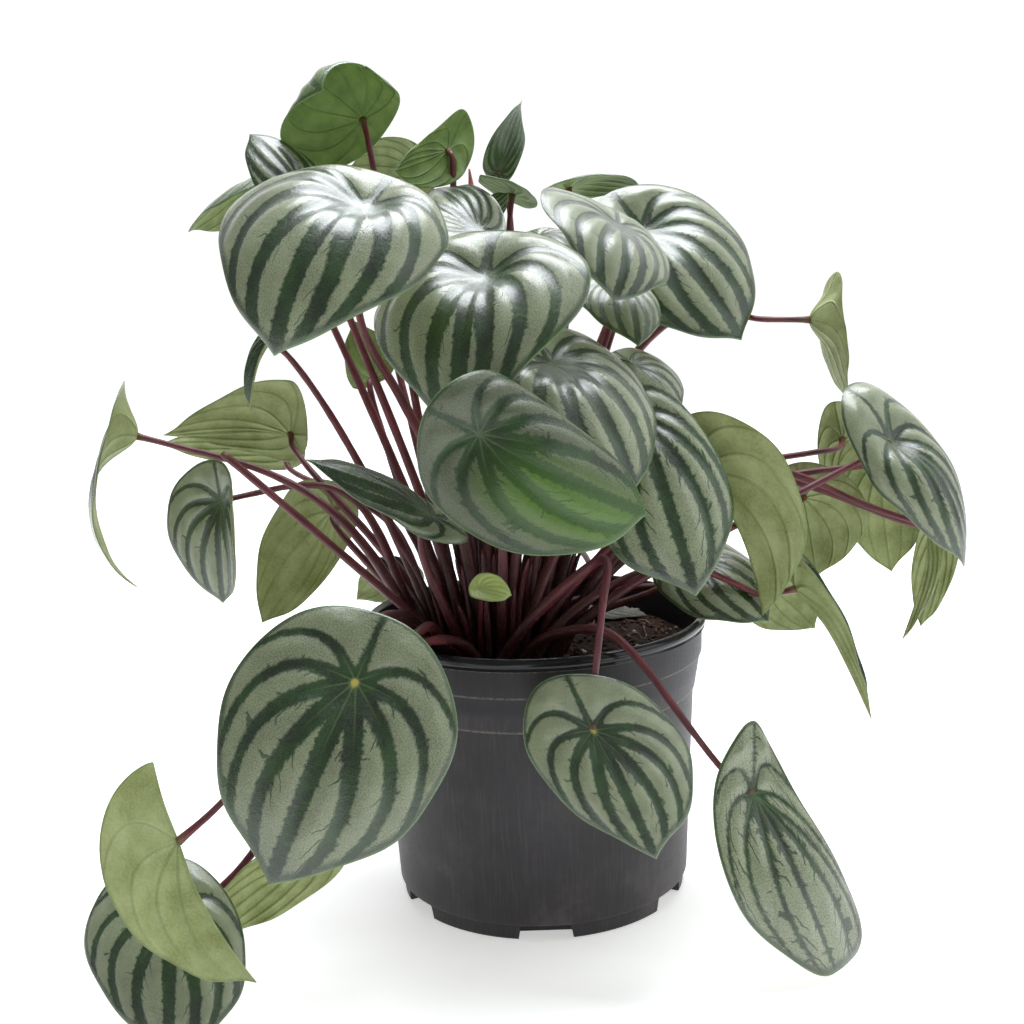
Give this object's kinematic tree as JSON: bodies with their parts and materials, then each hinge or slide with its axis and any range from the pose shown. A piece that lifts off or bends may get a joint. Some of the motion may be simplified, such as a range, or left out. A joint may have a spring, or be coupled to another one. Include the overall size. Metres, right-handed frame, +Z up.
{
  "type": "potted peperomia",
  "caption": "Bushy houseplant with striped shield-shaped leaves on long red stalks, rooted in dark soil in a round black nursery pot with a rolled rim and drainage notches.",
  "frame": {"origin": "centre of the pot's underside, on the surface it stands on", "axes": "+Z up along the pot's axis, -Y towards the front of the plant, +X to its right as seen from the front"},
  "size_m": [0.3894, 0.3088, 0.3702],
  "materials": {
    "pot_plastic": "black moulded plastic with a glossy rolled rim",
    "peat_soil": "dark moist peat with bark crumbs and perlite",
    "striped_leaf": "fleshy leaf, silver between dark green bands above, pale green below, on a maroon stalk",
    "red_stalk": "fleshy maroon stalk",
    "dry_leaf": "dry papery grey-brown leaf"
  },
  "bodies": {
    "root": {"bare_stalk": "red_stalk", "dried_leaf": "dry_leaf", "flower_spike": "red_stalk", "leaf_01": "striped_leaf", "leaf_02": "striped_leaf", "leaf_02b": "striped_leaf", "leaf_03": "striped_leaf", "leaf_04": "striped_leaf", "leaf_05": "striped_leaf", "leaf_07": "striped_leaf", "leaf_08": "striped_leaf", "leaf_09": "striped_leaf", "leaf_10": "striped_leaf", "leaf_11": "striped_leaf", "leaf_12": "striped_leaf", "leaf_13": "striped_leaf", "leaf_14": "striped_leaf", "leaf_15": "striped_leaf", "leaf_15b": "striped_leaf", "leaf_16": "striped_leaf", "leaf_18": "striped_leaf", "leaf_19": "striped_leaf", "leaf_20": "striped_leaf", "leaf_21": "striped_leaf", "leaf_22": "striped_leaf", "leaf_23": "striped_leaf", "leaf_24": "striped_leaf", "leaf_24b": "striped_leaf", "leaf_25": "striped_leaf", "leaf_26": "striped_leaf", "leaf_27": "striped_leaf", "leaf_28": "striped_leaf", "leaf_29": "striped_leaf", "leaf_30": "striped_leaf", "leaf_32": "striped_leaf", "leaf_34": "striped_leaf", "leaf_35": "striped_leaf", "leaf_35b": "striped_leaf", "leaf_36": "striped_leaf", "leaf_37": "striped_leaf", "leaf_38": "striped_leaf", "leaf_39": "striped_leaf", "leaf_40": "striped_leaf", "leaf_41": "striped_leaf", "leaf_42a": "striped_leaf", "leaf_42b": "striped_leaf", "leaf_43": "striped_leaf", "leaf_44": "striped_leaf", "leaf_45": "striped_leaf", "leaf_46": "striped_leaf", "leaf_47": "striped_leaf", "leaf_48": "striped_leaf", "leaf_b1": "striped_leaf", "leaf_b2": "striped_leaf", "leaf_b3": "striped_leaf", "leaf_b4": "striped_leaf", "leaf_b5": "striped_leaf", "leaf_b6": "striped_leaf", "pot": "pot_plastic", "soil": "peat_soil"}
  },
  "joints": []
}
